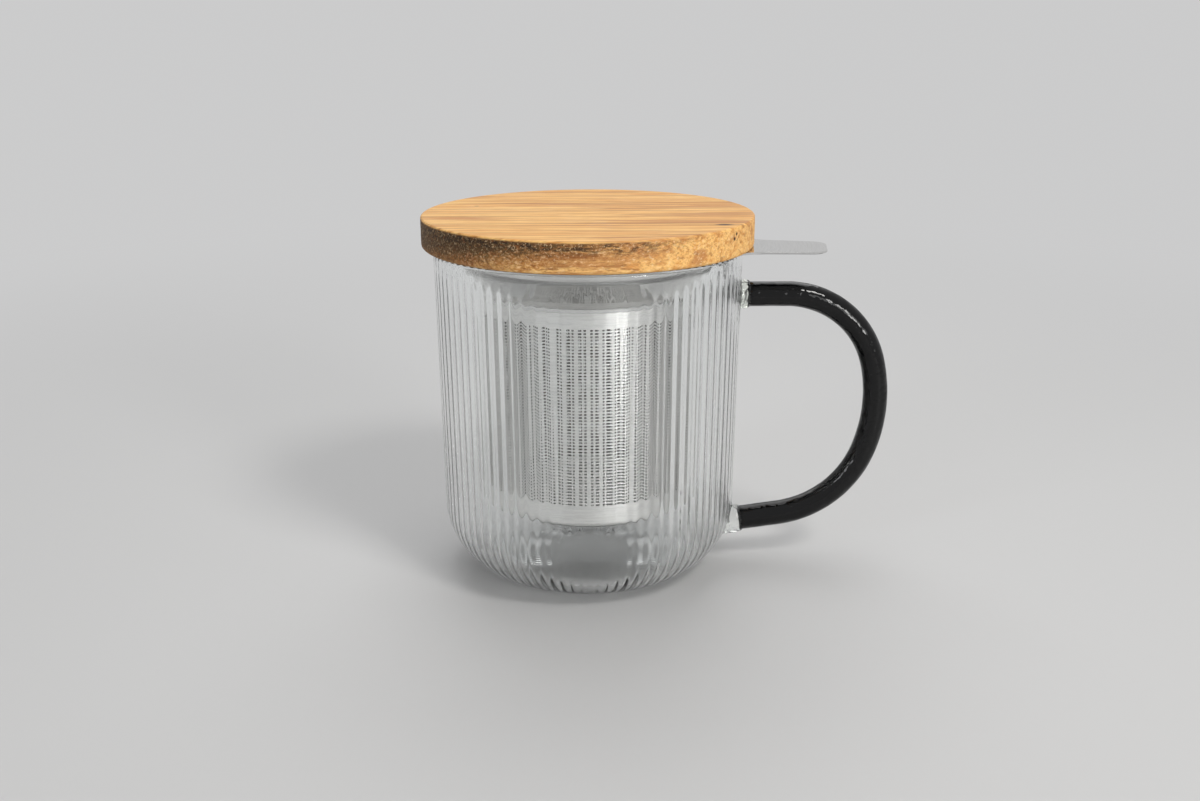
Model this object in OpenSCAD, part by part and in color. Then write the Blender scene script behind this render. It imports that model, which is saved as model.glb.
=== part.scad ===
// Lidded glass tea mug with a lift-out infuser.
//
// Origin: centre of the flat base, on the mug's axis.  +Z is up, and the
// handle reaches out along +X.  All lengths are millimetres.
//
// The cup is clear glass, smooth outside and fluted inside.  The black glass
// handle is joined to it by two clear beads.  A pressed steel collar rests its
// brim on the rim and carries the perforated basket.  A turned wooden lid sits
// on the brim, with a spigot and a soft ring that centre it in the collar.

/* [Glass] */
// Outer diameter of the cup at its rim
rim_d = 84; // [78:1:92]
// Height of the cup from the table to its rim
cup_h = 92.2; // [88:0.2:110]
// Radius lost from the rim down to the bottom corner
cup_taper = 1; // [0:0.25:2]
// Radius of the round bottom corner
corner_r = 20; // [14:1:24]
// Thickness of the wall and the floor between the flutes
wall_t = 2.2; // [1.8:0.1:3]
// Number of flutes round the inside
flute_count = 84; // [24:2:96]
// Depth of a flute into the wall
flute_depth = 0.4; // [0.3:0.1:0.9]
// Share of the pitch that a flute takes
flute_share = 0.62; // [0.4:0.02:0.8]
// Plain band left between the flutes and the rim
rim_band = 3.4; // [2:0.2:8]
// Radius on the floor where the flutes run out
flute_end_r = 12; // [8:1:16]

/* [Handle] */
// Diameter of the black glass rod
rod_d = 7; // [5:0.5:9]
// Height of the upper run of the rod
handle_z = 78.3; // [72:0.1:80]
// Distance from the axis to the first bend
first_bend_x = 54.6; // [50:0.2:60]
// Radius of the bend below the upper run
upper_bend_r = 25.6; // [24:0.2:27]
// Angle that the upper bend turns through
upper_bend_a = 75; // [72:0.2:78]
// Radius of the long bend at the back
back_bend_r = 44; // [40:0.5:46]
// Angle that the back bend turns through
back_bend_a = 35.4; // [33:0.2:38]
// Radius of the bend above the lower run
lower_bend_r = 29.6; // [28:0.2:31]
// Angle that the lower bend turns through
lower_bend_a = 61.6; // [58:0.2:64]
// Largest diameter of a clear glass bead
bead_d = 8.4; // [7.8:0.1:10]

/* [Infuser] */
// Thickness of the collar and base sheet
sheet_t = 0.6; // [0.4:0.1:0.8]
// Outer diameter of the flat brim
brim_d = 83.2; // [80:0.2:84]
// Inner diameter of the collar's mouth
mouth_d = 74.4; // [70:0.2:75]
// Outer diameter of the perforated basket
basket_d = 51.2; // [44:0.2:54]
// Thickness of the basket's wall
basket_t = 0.5; // [0.4:0.1:0.8]
// Height of the basket's bottom above the table
basket_z = 19.9; // [14:0.1:30]
// Height at which the collar's cone meets the basket
neck_z = 80.4; // [76:0.2:82]
// Distance from the axis to the end of the lifting tab
tab_reach = 64.3; // [58:0.1:70]
// Width of the lifting tab where it leaves the brim
tab_w = 19.2; // [16:0.2:24]
// Width towards which the tab tapers at its end
tab_end_w = 15.6; // [12:0.2:19]
// Angle by which the infuser, which turns freely, stands off the handle
tab_turn_a = -7.4; // [-20:0.2:20]

/* [Perforations] */
// Columns of slots round the basket, an even number
slot_columns = 24; // [12:2:30]
// Rows of slots up the basket
slot_rows = 14; // [6:1:16]
// Height of one slot
slot_h = 1.6; // [1:0.1:2]
// Width of one slot round the basket
slot_w = 3.2; // [1.5:0.1:3.6]
// Height of the lowest edge of the perforated field
field_z0 = 26.5; // [26:0.5:32]
// Height of the highest edge of the perforated field
field_z1 = 75; // [60:0.5:75]
// Diameter of a drain hole in the basket's base
drain_d = 2; // [1:0.1:2.4]
// Distance between rings of drain holes
drain_pitch = 5; // [4:0.5:6]

/* [Lid] */
// Diameter of the wooden lid
lid_d = 90; // [86:1:96]
// Thickness of the lid above the brim
lid_t = 8.2; // [6:0.2:12]
// Radius of the lid's upper edge
lid_top_r = 0.6; // [0.4:0.1:2]
// Radius of the lid's lower edge
lid_edge_r = 1; // [0.5:0.1:2]
// Depth of the spigot below the lid
spigot_h = 3.5; // [3:0.1:3.8]
// Diameter of the spigot
spigot_d = 70.8; // [66:0.2:71]

/* [Hidden] */

$fn = 96;

// Overlap of joined shapes, and of cutters past the faces that they cut
lap = 1;

// Colours as they look in the photograph
clear_glass = [0.82, 0.87, 0.87, 0.35];
black_glass = [0.03, 0.03, 0.035];
steel = [0.74, 0.74, 0.75];
acacia = [0.72, 0.45, 0.22];
silicone = [0.85, 0.85, 0.83];

// Cup: radii at the rim and at the top of the bottom corner
rim_r = rim_d / 2;
waist_r = rim_r - cup_taper;
rim_round = 0.7;
rim_straight_h = 2.2;
taper_z = cup_h - rim_straight_h;
flute_pitch_a = 360 / flute_count;
flute_top = cup_h - rim_band;
// Overlap of a flute cutter into the open cup, and the slope of its upper end
cutter_lap = 0.8;
run_out_a = 60;
run_out_l = 4;

// Handle: where each bend starts, as [x, z], and its heading in degrees
rod_r = rod_d / 2;
rod_sides = 24;
bend_steps = [12, 6, 10];
heading_1 = -upper_bend_a;
heading_2 = heading_1 - back_bend_a;
heading_3 = heading_2 - lower_bend_a;
bend_1 = [first_bend_x, handle_z];
bend_2 = after_bend(bend_1, 0, upper_bend_r, upper_bend_a);
bend_3 = after_bend(bend_2, heading_1, back_bend_r, back_bend_a);
lower_run = after_bend(bend_3, heading_2, lower_bend_r, lower_bend_a);
upper_bead_gap = 1.6;
lower_bead_gap = 1.9;
rod_end_x = waist_r + lower_bead_gap;
rod_start = [rim_r + upper_bead_gap, handle_z];
rod_end = along(lower_run, heading_3, (lower_run.x - rod_end_x) / -cos(heading_3));
bead_l = 7;
bead_round = 1.4;
bead_neck_r = 2.2;
bead_inset = 0.2;

// Infuser: heights and radii that follow from the cup's rim
brim_z = cup_h;
brim_top = brim_z + sheet_t;
brim_r = brim_d / 2;
mouth_r = mouth_d / 2;
mouth_wall_h = 2.2;
mouth_z = brim_z - mouth_wall_h;
basket_r = basket_d / 2;
lip_h = 1.2;
// Rise of the cone's upper face that keeps the cone about a sheet thick
cone_rise = 0.25;
base_round = 1;
base_wall_h = 3;
// Tab: slope of its sides, their distance from the axis, and its arcs
tab_taper_a = atan((tab_w - tab_end_w) / 2 / (tab_reach - brim_r));
tab_side_y = tab_w / 2 * cos(tab_taper_a) + brim_r * sin(tab_taper_a);
tab_corner_r = 4.5;
tab_root_r = 14;
tab_root_stop_a = 6;
tab_arc_steps = 10;
tab_start_r = mouth_r + 2;
slot_pitch = (field_z1 - field_z0 - slot_h) / (slot_rows - 1);
drain_rings = 4;
drain_sides = 24;

// Lid: the groove that holds the soft ring
lid_r = lid_d / 2;
spigot_r = spigot_d / 2;
groove_h = 1.4;
groove_depth = 1;
groove_drop = 0.8;
groove_z = brim_top - groove_drop - groove_h;
seal_gap = 0.3;

// ---- shared geometry ---------------------------------------------------

// Point reached by a rod that starts at p with heading h and turns down
// through angle a on radius r
function after_bend(p, h, r, a) = p + 2 * r * sin(a / 2) * [cos(h - a / 2), sin(h - a / 2)];

// Point at distance d from p along heading h
function along(p, h, d) = p + d * [cos(h), sin(h)];

// Radius of the cup's outer wall at height z, between the corner and the rim
function wall_r(z) = waist_r + (rim_r - waist_r) * (z - corner_r) / (taper_z - corner_r);

// Half section of the space inside the cup's outer surface, moved inward by t
// and cut off at height top, which is above the taper
module cup_section(t, top) {
    centre_r = waist_r - corner_r;
    polygon([
        [0, t], [centre_r, t], [waist_r - t, corner_r],
        [rim_r - t, taper_z], [rim_r - t, top], [0, top]
    ]);
    intersection() {
        translate([centre_r, corner_r]) circle(r = corner_r - t);
        translate([centre_r, 0]) square([corner_r, corner_r]);
    }
}

// Half section of a ring of rectangular profile
module ring_section(r0, r1, z0, z1) {
    translate([r0, z0]) square([r1 - r0, z1 - z0]);
}

// ---- cup ---------------------------------------------------------------

// Half section of the plain wall, with a fire-polished rim
module wall_section() {
    straight_top = cup_h - rim_round;
    flat_r = [rim_r - wall_t + rim_round, rim_r - rim_round];
    difference() {
        cup_section(0, straight_top);
        cup_section(wall_t, cup_h);
    }
    intersection() {
        union() {
            ring_section(flat_r[0], flat_r[1], straight_top, cup_h);
            for (r = flat_r)
                translate([r, straight_top]) circle(r = rim_round);
        }
        translate([0, straight_top]) square([rim_r, rim_round]);
    }
}

// Half section that one flute sweeps: a band in the wall that runs out
// towards the rim on a slope and ends square on the floor
module flute_section() {
    half_lap = cutter_lap / 2;
    cut_z = flute_top + half_lap * tan(run_out_a);
    difference() {
        cup_section(wall_t - flute_depth, cup_h);
        cup_section(wall_t + cutter_lap, cup_h);
        square([flute_end_r, corner_r]);
        translate([0, cut_z]) square([rim_r, cup_h]);
        translate([wall_r(flute_top) - wall_t - half_lap, cut_z])
            rotate(-run_out_a) square([run_out_l, run_out_l]);
    }
}

module flutes() {
    sweep = flute_pitch_a * flute_share;
    for (i = [0 : flute_count - 1])
        rotate((i + 0.5) * flute_pitch_a - sweep / 2)
            rotate_extrude(angle = sweep) flute_section();
}

module glass_cup() {
    color(clear_glass) difference() {
        rotate_extrude() wall_section();
        flutes();
    }
}

// ---- handle ------------------------------------------------------------

// Stations along a bend, each [point, heading]; the first one is left out
function bend_stations(p, h, r, a, steps) =
    [for (k = [1 : steps]) [after_bend(p, h, r, a * k / steps), h - a * k / steps]];

// Ring of points round the rod at one station
function rod_ring(station) =
    let (p = station[0], h = station[1])
    [for (k = [0 : rod_sides - 1])
        let (out = rod_r * cos(k * 360 / rod_sides), side = rod_r * sin(k * 360 / rod_sides))
        [p.x - out * sin(h), side, p.y + out * cos(h)]];

module handle() {
    stations = concat(
        [[rod_start, 0], [bend_1, 0]],
        bend_stations(bend_1, 0, upper_bend_r, upper_bend_a, bend_steps[0]),
        bend_stations(bend_2, heading_1, back_bend_r, back_bend_a, bend_steps[1]),
        bend_stations(bend_3, heading_2, lower_bend_r, lower_bend_a, bend_steps[2]),
        [[rod_end, heading_3]]
    );
    last = len(stations) - 1;
    color(black_glass) polyhedron(
        points = [for (station = stations) each rod_ring(station)],
        faces = concat(
            [[for (k = [0 : rod_sides - 1]) k]],
            [[for (k = [rod_sides - 1 : -1 : 0]) last * rod_sides + k]],
            [for (i = [0 : last - 1], k = [0 : rod_sides - 1])
                let (a = i * rod_sides, b = a + rod_sides, next = (k + 1) % rod_sides)
                [a + k, b + k, b + next, a + next]]
        )
    );
}

// Half section of a bead: a round shoulder, then a cone towards the cup
module bead_section() {
    bead_r = bead_d / 2;
    ring_section(0, bead_r - bead_round, 0, bead_round + lap);
    translate([bead_r - bead_round, bead_round]) circle(r = bead_round);
    polygon([
        [0, bead_round], [bead_r - bead_inset, bead_round], [bead_neck_r, bead_l], [0, bead_l]
    ]);
}

// Clear bead that starts on the rod's end face at p and runs into the cup
// along heading h
module bead(p, h) {
    color(clear_glass) difference() {
        translate([p.x, 0, p.y]) rotate([0, 90 - h, 0]) rotate_extrude() bead_section();
        rotate_extrude() cup_section(0, cup_h);
    }
}

module upper_bead() {
    bead(rod_start, 180);
}

module lower_bead() {
    bead(rod_end, heading_3);
}

// ---- infuser -----------------------------------------------------------

// Points along an arc round c, from angle a0 to angle a1
function arc_points(c, r, a0, a1) =
    [for (k = [0 : tab_arc_steps])
        let (a = a0 + (a1 - a0) * k / tab_arc_steps) c + r * [cos(a), sin(a)]];

// Point [x, y] of the frame that lies along one side of the tab, seen from the mug's axis
function side_point(x, y) =
    [x * cos(tab_taper_a) + y * sin(tab_taper_a), y * cos(tab_taper_a) - x * sin(tab_taper_a)];

// One side of the tab: a large root fillet that stops just short of the brim's
// edge, the straight side and the round far corner
function tab_side() =
    let (
        fillet_y = tab_side_y + tab_root_r,
        fillet_x = sqrt(pow(brim_r + tab_root_r, 2) - pow(fillet_y, 2)),
        corner_x = tab_reach - tab_corner_r,
        corner_y = (tab_side_y - tab_corner_r - corner_x * sin(tab_taper_a)) / cos(tab_taper_a),
        root_a = 180 + atan(fillet_y / fillet_x) - tab_taper_a + tab_root_stop_a,
        root = arc_points(side_point(fillet_x, fillet_y), tab_root_r, root_a, 270 - tab_taper_a),
        corner = arc_points([corner_x, corner_y], tab_corner_r, 90 - tab_taper_a, 0)
    )
    concat([root[0] * tab_start_r / norm(root[0])], root, corner);

// Flat outline of the lifting tab, which starts inside the brim
module tab_outline() {
    side = tab_side();
    polygon(concat(side, [for (k = [len(side) - 1 : -1 : 0]) [side[k].x, -side[k].y]]));
}

// Half section of the pressed collar: cone, short mouth wall and lip
module collar_section() {
    polygon([
        [basket_r, neck_z - lip_h], [basket_r + sheet_t, neck_z - lip_h],
        [basket_r + sheet_t, neck_z], [mouth_r + sheet_t, mouth_z],
        [mouth_r + sheet_t, brim_top], [mouth_r, brim_top],
        [mouth_r, mouth_z + cone_rise], [basket_r, neck_z + cone_rise]
    ]);
}

module infuser_collar() {
    color(steel) {
        rotate_extrude() collar_section();
        translate([0, 0, brim_z]) linear_extrude(sheet_t) difference() {
            union() {
                circle(r = brim_r);
                rotate(tab_turn_a) tab_outline();
            }
            circle(r = mouth_r + sheet_t / 2);
        }
    }
}

// One row of slots, cut by bars that cross the whole basket
module slot_row() {
    for (i = [0 : slot_columns / 2 - 1])
        rotate(i * 360 / slot_columns)
            translate([-basket_d, -slot_w / 2, 0]) cube([2 * basket_d, slot_w, slot_h]);
}

module infuser_basket() {
    tube_z = basket_z + base_round;
    color(steel) difference() {
        translate([0, 0, tube_z]) cylinder(h = neck_z - tube_z, r = basket_r);
        translate([0, 0, tube_z - lap])
            cylinder(h = neck_z - tube_z + 2 * lap, r = basket_r - basket_t);
        for (row = [0 : slot_rows - 1])
            translate([0, 0, field_z0 + row * slot_pitch]) slot_row();
    }
}

// Half section of the pressed base: floor, round edge and upstand
module base_section() {
    wall_outer_r = basket_r - basket_t;
    ring_section(0, basket_r - base_round, basket_z, basket_z + sheet_t);
    ring_section(wall_outer_r - sheet_t, wall_outer_r, basket_z + sheet_t, basket_z + base_wall_h);
    intersection() {
        translate([basket_r - base_round, basket_z + base_round]) circle(r = base_round);
        translate([basket_r - 2 * base_round, basket_z]) square([2 * base_round, base_round]);
    }
}

module infuser_base() {
    color(steel) difference() {
        rotate_extrude() base_section();
        for (ring = [0 : drain_rings - 1], i = [0 : max(0, ring * 6 - 1)])
            rotate(i * 60 / max(1, ring))
                translate([ring * drain_pitch, 0, basket_z - lap])
                    cylinder(h = sheet_t + 2 * lap, d = drain_d, $fn = drain_sides);
    }
}

// ---- lid ---------------------------------------------------------------

// Half section of the lid's disc, with both outer edges rounded
module disc_section() {
    lid_top = brim_top + lid_t;
    edge_z = [brim_top + lid_edge_r, lid_top - lid_top_r];
    ring_section(0, lid_r, edge_z[0], edge_z[1]);
    ring_section(0, lid_r - lid_edge_r, brim_top, edge_z[0] + lap);
    ring_section(0, lid_r - lid_top_r, edge_z[1] - lap, lid_top);
    translate([lid_r - lid_edge_r, edge_z[0]]) circle(r = lid_edge_r);
    translate([lid_r - lid_top_r, edge_z[1]]) circle(r = lid_top_r);
}

module lid() {
    color(acacia) rotate_extrude() difference() {
        union() {
            disc_section();
            ring_section(0, spigot_r, brim_top - spigot_h, brim_top + lap);
        }
        ring_section(spigot_r - groove_depth, spigot_r + lap, groove_z, groove_z + groove_h);
    }
}

// Soft ring in the groove, with a rounded lip just inside the collar's mouth
module lid_seal() {
    lip_r = groove_h / 2;
    outer_r = mouth_r - seal_gap;
    color(silicone) rotate_extrude() {
        ring_section(spigot_r - groove_depth, outer_r - lip_r, groove_z, groove_z + groove_h);
        translate([outer_r - lip_r, groove_z + lip_r]) circle(r = lip_r);
    }
}

glass_cup();
handle();
upper_bead();
lower_bead();
infuser_collar();
infuser_basket();
infuser_base();
lid();
lid_seal();
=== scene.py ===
"""Looks of a lidded glass tea mug with a lift-out infuser.

The main sizes of the cup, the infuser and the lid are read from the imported
model, and the finer sizes are fields of the classes.  All lengths are metres,
+Z is up and the handle reaches out along +X.
"""

import logging
import math
from dataclasses import dataclass, field
from enum import Enum

import bmesh
import bpy
import numpy as np
from mathutils import Matrix, Vector


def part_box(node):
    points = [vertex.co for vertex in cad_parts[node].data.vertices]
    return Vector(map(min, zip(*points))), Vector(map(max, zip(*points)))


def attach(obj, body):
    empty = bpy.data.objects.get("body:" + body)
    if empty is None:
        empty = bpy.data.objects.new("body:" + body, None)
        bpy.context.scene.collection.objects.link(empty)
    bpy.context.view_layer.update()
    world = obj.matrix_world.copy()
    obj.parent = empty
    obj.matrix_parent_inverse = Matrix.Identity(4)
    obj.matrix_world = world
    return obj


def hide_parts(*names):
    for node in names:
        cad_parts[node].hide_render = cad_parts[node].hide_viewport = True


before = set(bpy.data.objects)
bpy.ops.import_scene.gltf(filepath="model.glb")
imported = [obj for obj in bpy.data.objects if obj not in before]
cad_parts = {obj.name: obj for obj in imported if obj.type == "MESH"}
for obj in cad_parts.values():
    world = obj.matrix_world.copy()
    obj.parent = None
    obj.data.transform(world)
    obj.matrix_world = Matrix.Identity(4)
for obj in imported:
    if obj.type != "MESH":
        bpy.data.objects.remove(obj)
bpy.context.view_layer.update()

MM = 0.001
TURN = 2 * math.pi
log = logging.getLogger("mug")

Colour = tuple[float, float, float]
Point2 = tuple[float, float]


class Body(Enum):
    """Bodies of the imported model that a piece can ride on."""

    MUG = "mug"
    INFUSER = "infuser"
    LID = "lid"


class Slot(Enum):
    """Material slots of the record."""

    CLEAR_GLASS = "clear_glass"
    BLACK_GLASS = "black_glass"
    POLISHED_STEEL = "polished_steel"
    BRUSHED_STEEL = "brushed_steel"
    ACACIA = "acacia"
    SILICONE = "silicone"


# ---- meshes -----------------------------------------------------------------


def arc(centre: Point2, radius: float, start: float, end: float, steps: int) -> list[Point2]:
    """Points along an arc, both ends included.

    Args:
        centre: Centre of the arc.
        radius: Radius of the arc.
        start: Angle of the first point, in degrees.
        end: Angle of the last point, in degrees.
        steps: Number of chords.

    Returns:
        The points, in order from start to end.
    """
    angles = [math.radians(start + (end - start) * k / steps) for k in range(steps + 1)]
    return [(centre[0] + radius * math.cos(a), centre[1] + radius * math.sin(a)) for a in angles]


def straight(start: Point2, end: Point2, steps: int) -> list[Point2]:
    """Evenly spaced points from start to end, without the two ends."""
    return [
        (
            start[0] + (end[0] - start[0]) * k / steps,
            start[1] + (end[1] - start[1]) * k / steps,
        )
        for k in range(1, steps)
    ]


def revolved(profile: list[Point2], steps: int) -> np.ndarray:
    """Rings of points that a half section sweeps round the mug's axis.

    Args:
        profile: Points of the half section, as (radius, height).
        steps: Points in each ring.

    Returns:
        An array of shape (points of the profile, steps, 3).
    """
    angle = np.arange(steps) * TURN / steps
    section = np.array(profile)
    rings = np.empty((len(profile), steps, 3))
    rings[:, :, 0] = section[:, :1] * np.cos(angle)
    rings[:, :, 1] = section[:, :1] * np.sin(angle)
    rings[:, :, 2] = section[:, 1:]
    return rings


@dataclass
class Skin:
    """Points and faces of one piece, gathered before they become a mesh."""

    points: list[np.ndarray] = field(default_factory=list)
    faces: list[np.ndarray] = field(default_factory=list)
    count: int = 0

    def add(self, points: np.ndarray, faces: list[np.ndarray]) -> None:
        """Adds points and the faces between them.

        Args:
            points: Array of shape (n, 3).
            faces: Arrays of shape (m, corners) that index the new points.
        """
        self.points.append(points)
        self.faces.extend(f + self.count for f in faces)
        self.count += len(points)

    def add_rings(self, rings: np.ndarray, closed: bool) -> None:
        """Adds the surface between successive rings.

        Args:
            rings: Array of shape (rings, points in a ring, 3).
            closed: True joins the last ring to the first; False closes each
                end with a fan to the middle of its ring.
        """
        total, around = rings.shape[:2]
        index = np.arange(total * around).reshape(total, around)
        beside = np.roll(index, -1, axis=1)
        upper = np.roll(index, -1, axis=0)
        upper_beside = np.roll(beside, -1, axis=0)
        quads = np.stack([index, beside, upper_beside, upper], axis=-1)
        points = rings.reshape(-1, 3)
        if closed:
            self.add(points, [quads.reshape(-1, 4)])
            return
        middles = np.stack([rings[0].mean(axis=0), rings[-1].mean(axis=0)])
        first = np.stack(
            [np.full(around, total * around), beside[0], index[0]], axis=-1
        )
        last = np.stack(
            [np.full(around, total * around + 1), index[-1], beside[-1]], axis=-1
        )
        self.add(np.vstack([points, middles]), [quads[:-1].reshape(-1, 4), first, last])

    def signed_volume(self, points: np.ndarray) -> float:
        """Volume inside the faces, negative if they face inward."""
        total = 0.0
        for faces in self.faces:
            corner = points[faces]
            for k in range(1, faces.shape[1] - 1):
                cross = np.cross(corner[:, k], corner[:, k + 1])
                total += float((corner[:, 0] * cross).sum()) / 6
        return total

    def to_object(self, name: str, smooth_deg: float = 40) -> bpy.types.Object:
        """Makes the mesh object, with its faces turned outward.

        Args:
            name: Name of the object and its mesh.
            smooth_deg: Edges sharper than this angle stay sharp.

        Returns:
            The object, linked to the scene.
        """
        points = np.vstack(self.points)
        faces = self.faces
        if self.signed_volume(points) < 0:
            faces = [f[:, ::-1] for f in faces]
        sizes = np.concatenate([np.full(len(f), f.shape[1]) for f in faces])
        corners = np.concatenate([f.ravel() for f in faces])
        mesh = bpy.data.meshes.new(name)
        mesh.vertices.add(len(points))
        mesh.vertices.foreach_set("co", points.ravel())
        mesh.loops.add(len(corners))
        mesh.loops.foreach_set("vertex_index", corners.astype(np.int32))
        mesh.polygons.add(len(sizes))
        starts = np.concatenate([[0], np.cumsum(sizes)[:-1]])
        mesh.polygons.foreach_set("loop_start", starts.astype(np.int32))
        mesh.update(calc_edges=True)
        mesh.validate()
        mesh.shade_smooth()
        mesh.set_sharp_from_angle(angle=math.radians(smooth_deg))
        piece = bpy.data.objects.new(name, mesh)
        bpy.context.scene.collection.objects.link(piece)
        return piece


def dress(
    piece: bpy.types.Object,
    material: bpy.types.Material,
    body: Body,
    slot: Slot,
    *nodes: str,
) -> bpy.types.Object:
    """Gives a new piece its material, its body and the nodes it stands for.

    Args:
        piece: The new mesh object.
        material: Its finish.
        body: The body it rides on.
        slot: The record's slot that its finish comes from; not used.
        *nodes: The CAD nodes that it replaces.

    Returns:
        The same piece.
    """
    piece.data.materials.append(material)
    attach(piece, body.value)
    if nodes:
        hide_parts(*nodes)
    log.info("%s: %d faces on %s", piece.name, len(piece.data.polygons), body.value)
    return piece


# ---- shader building blocks ----------------------------------------------------


@dataclass
class Wiring:
    """Short hand for adding and joining the nodes of one tree."""

    tree: bpy.types.NodeTree

    def add(self, kind: str, **inputs: object) -> bpy.types.Node:
        """Adds a node and sets its unlinked inputs or properties.

        Args:
            kind: Blender's name of the node type.
            **inputs: Values by input name with spaces as underscores, by
                property name, or a socket to link from.

        Returns:
            The new node.
        """
        node = self.tree.nodes.new(kind)
        sockets = {s.name.replace(" ", "_"): s for s in reversed(node.inputs)}
        for key, value in inputs.items():
            if key in sockets and isinstance(value, bpy.types.NodeSocket):
                self.tree.links.new(value, sockets[key])
            elif key in sockets:
                sockets[key].default_value = value
            else:
                setattr(node, key, value)
        return node

    def link(self, source: bpy.types.NodeSocket, target: bpy.types.NodeSocket) -> None:
        """Joins an output to an input."""
        self.tree.links.new(source, target)

    def maths(self, operation: str, a: object, b: object = 0.0) -> bpy.types.NodeSocket:
        """Adds a Math node on two values or sockets and returns its output."""
        node = self.add("ShaderNodeMath", operation=operation)
        for socket, value in zip(node.inputs, (a, b)):
            if isinstance(value, bpy.types.NodeSocket):
                self.link(value, socket)
            else:
                socket.default_value = value
        return node.outputs[0]

    def span(self, value: bpy.types.NodeSocket, low: float, high: float,
             to_low: float = 0.0, to_high: float = 1.0) -> bpy.types.NodeSocket:
        """Adds a clamped Map Range node and returns its output."""
        node = self.add("ShaderNodeMapRange", Value=value, From_Min=low, From_Max=high,
                        To_Min=to_low, To_Max=to_high)
        node.interpolation_type = "SMOOTHSTEP"
        return node.outputs["Result"]

    def mix(self, share: object, a: object, b: object) -> bpy.types.NodeSocket:
        """Adds a colour Mix node and returns its output.

        Args:
            share: Factor, a value or a socket.
            a: First colour or socket.
            b: Second colour or socket.

        Returns:
            The colour output.
        """
        node = self.tree.nodes.new("ShaderNodeMix")
        node.data_type = "RGBA"
        for index, value in ((0, share), (6, a), (7, b)):
            if isinstance(value, bpy.types.NodeSocket):
                self.link(value, node.inputs[index])
            elif index == 0:
                node.inputs[index].default_value = value
            else:
                node.inputs[index].default_value = (*value, 1.0)
        return node.outputs[2]


def new_group(name: str, inputs: dict[str, object], outputs: dict[str, str]) -> Wiring:
    """Starts a shader node group with named sockets.

    Args:
        name: Name of the group.
        inputs: Default values by socket name; a tuple of three makes a vector.
        outputs: Socket types by output name.

    Returns:
        The wiring of the new group, with its input and output nodes in it.
    """
    tree = bpy.data.node_groups.new(name, "ShaderNodeTree")
    for label, value in inputs.items():
        kind = "NodeSocketVector" if isinstance(value, tuple) else "NodeSocketFloat"
        socket = tree.interface.new_socket(label, in_out="INPUT", socket_type=kind)
        if not isinstance(value, tuple):
            socket.default_value = value
    for label, kind in outputs.items():
        tree.interface.new_socket(label, in_out="OUTPUT", socket_type=kind)
    wiring = Wiring(tree)
    wiring.add("NodeGroupInput")
    wiring.add("NodeGroupOutput")
    return wiring


def group_ends(wiring: Wiring) -> tuple[bpy.types.Node, bpy.types.Node]:
    """The input node and the output node of a group."""
    return wiring.tree.nodes["Group Input"], wiring.tree.nodes["Group Output"]


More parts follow.
